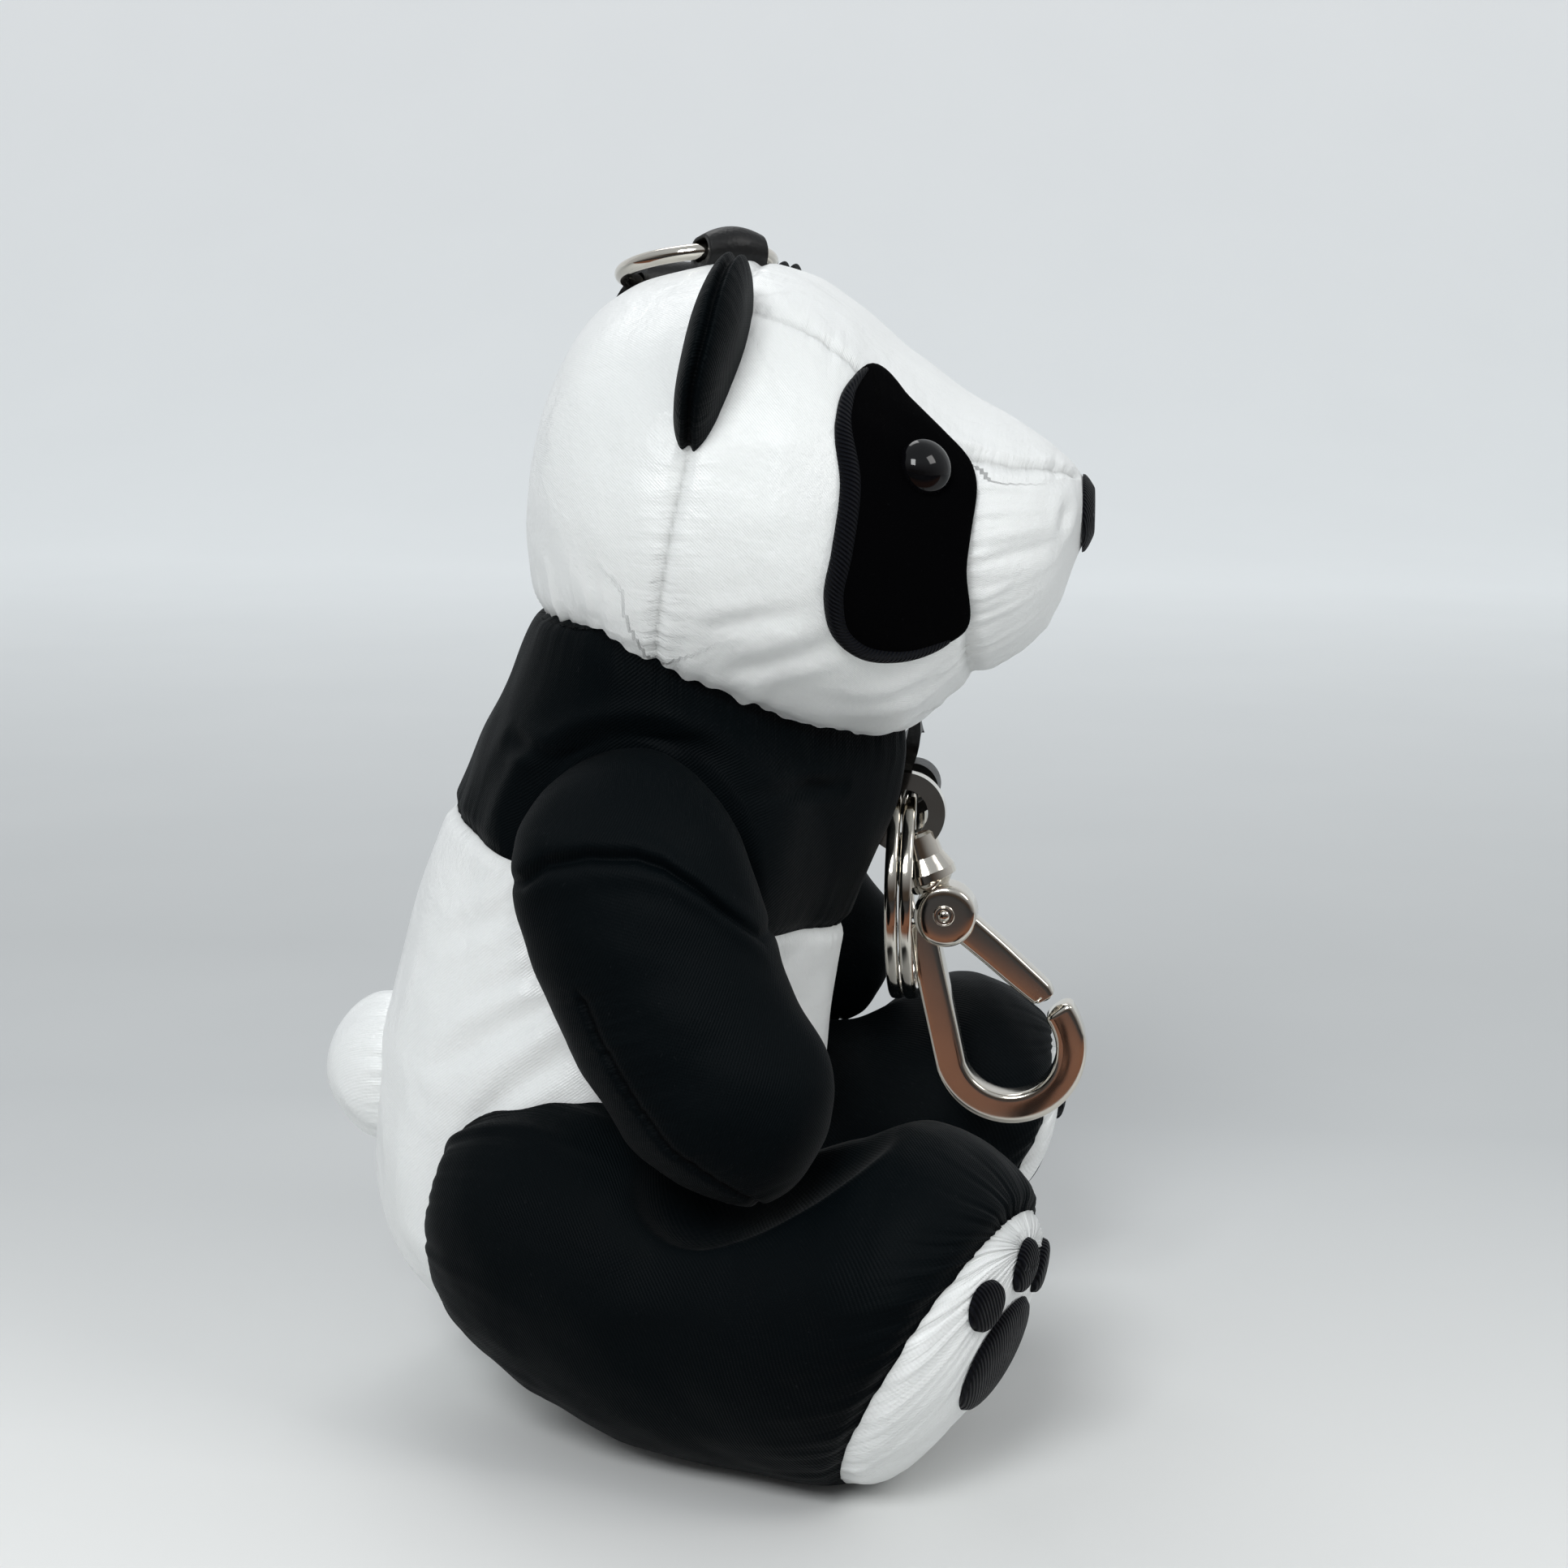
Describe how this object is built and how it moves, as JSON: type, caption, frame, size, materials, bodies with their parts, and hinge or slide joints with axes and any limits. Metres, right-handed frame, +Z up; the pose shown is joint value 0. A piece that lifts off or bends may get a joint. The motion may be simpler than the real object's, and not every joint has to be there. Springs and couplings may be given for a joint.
{
  "type": "plush keychain",
  "caption": "Seated soft toy panda keychain with swinging arms, a leather strap, a split key ring and a swivel snap hook with a sprung gate.",
  "frame": {"origin": "centre of the flat seat under the torso", "axes": "+Z up; the toy faces -Y, with its right side towards -X"},
  "size_m": [0.0984, 0.0844, 0.1241],
  "materials": {
    "white_satin": "duchesse satin, soft sheen",
    "black_satin": "matt woven satin",
    "black_velvet": "short velvet pile",
    "black_thread": "embroidered thread",
    "stuffing": "loose polyester fibre, hidden",
    "black_gloss": "polished",
    "clear_plastic": "moulded, hidden",
    "black_leather": "smooth dyed",
    "nickel": "polished nickel plate"
  },
  "bodies": {
    "toy": {"nape_panel": "white_satin", "crown_gusset": "white_satin", "face_panel_right": "white_satin", "face_panel_left": "white_satin", "head_stuffing": "stuffing", "nose": "black_thread", "crown_tab": "black_leather", "strap": "black_leather", "ear_right": "black_satin", "eye_patch_right": "black_velvet", "patch_border_right": "black_thread", "eye_right": "black_gloss", "eye_washer_right": "clear_plastic", "ear_left": "black_satin", "eye_patch_left": "black_velvet", "patch_border_left": "black_thread", "eye_left": "black_gloss", "eye_washer_left": "clear_plastic", "yoke": "black_satin", "body_cover": "white_satin", "body_stuffing": "stuffing", "tail": "white_satin", "leg_cover_right": "black_satin", "leg_stuffing_right": "stuffing", "sole_right": "white_satin", "paw_pads_right": "black_thread", "leg_cover_left": "black_satin", "leg_stuffing_left": "stuffing", "sole_left": "white_satin", "paw_pads_left": "black_thread"},
    "arm_right": {"arm_cover_right": "black_satin", "arm_stuffing_right": "stuffing"},
    "arm_left": {"arm_cover_left": "black_satin", "arm_stuffing_left": "stuffing"},
    "crown_ring": {"crown_ring": "nickel"},
    "key_ring": {"key_ring": "nickel"},
    "swivel_eye": {"swivel_eye": "nickel"},
    "hook": {"hook_body": "nickel", "gate_pin": "nickel", "gate_spring": "nickel"},
    "gate": {"gate": "nickel"}
  },
  "joints": [
    {"name": "arm_right_swing", "type": "hinge", "parent": "toy", "child": "arm_right", "pos_m": [-0.0213, -0.005, 0.0598], "axis": [-1, 0, 0], "range_deg": [0, 60]},
    {"name": "arm_left_swing", "type": "hinge", "parent": "toy", "child": "arm_left", "pos_m": [0.0213, -0.005, 0.0598], "axis": [-1, 0, 0], "range_deg": [0, 60]},
    {"name": "crown_ring_turn", "type": "hinge", "parent": "toy", "child": "crown_ring", "pos_m": [0.00741, -0.00681, 0.11996], "axis": [0.1703, 0.1193, 0.9781], "continuous": true},
    {"name": "key_ring_swing", "type": "hinge", "parent": "toy", "child": "key_ring", "pos_m": [0.0145, -0.0294, 0.06285], "axis": [-1, 0, 0], "range_deg": [-3, 28]},
    {"name": "hook_swing", "type": "hinge", "parent": "key_ring", "child": "swivel_eye", "pos_m": [0.0089, -0.0294, 0.06143], "axis": [-1, 0, 0], "range_deg": [0, 50]},
    {"name": "swivel_turn", "type": "hinge", "parent": "swivel_eye", "child": "hook", "pos_m": [0.0089, -0.0294, 0.06143], "axis": [0, -0.3256, -0.9455], "range_deg": [-75, 60]},
    {"name": "gate_open", "type": "hinge", "parent": "hook", "child": "gate", "pos_m": [0.0089, -0.03416, 0.04974], "axis": [1, 0, 0], "range_deg": [0, 26], "stiffness_Nm_per_rad": 0.01, "springref_deg": -28.65}
  ]
}
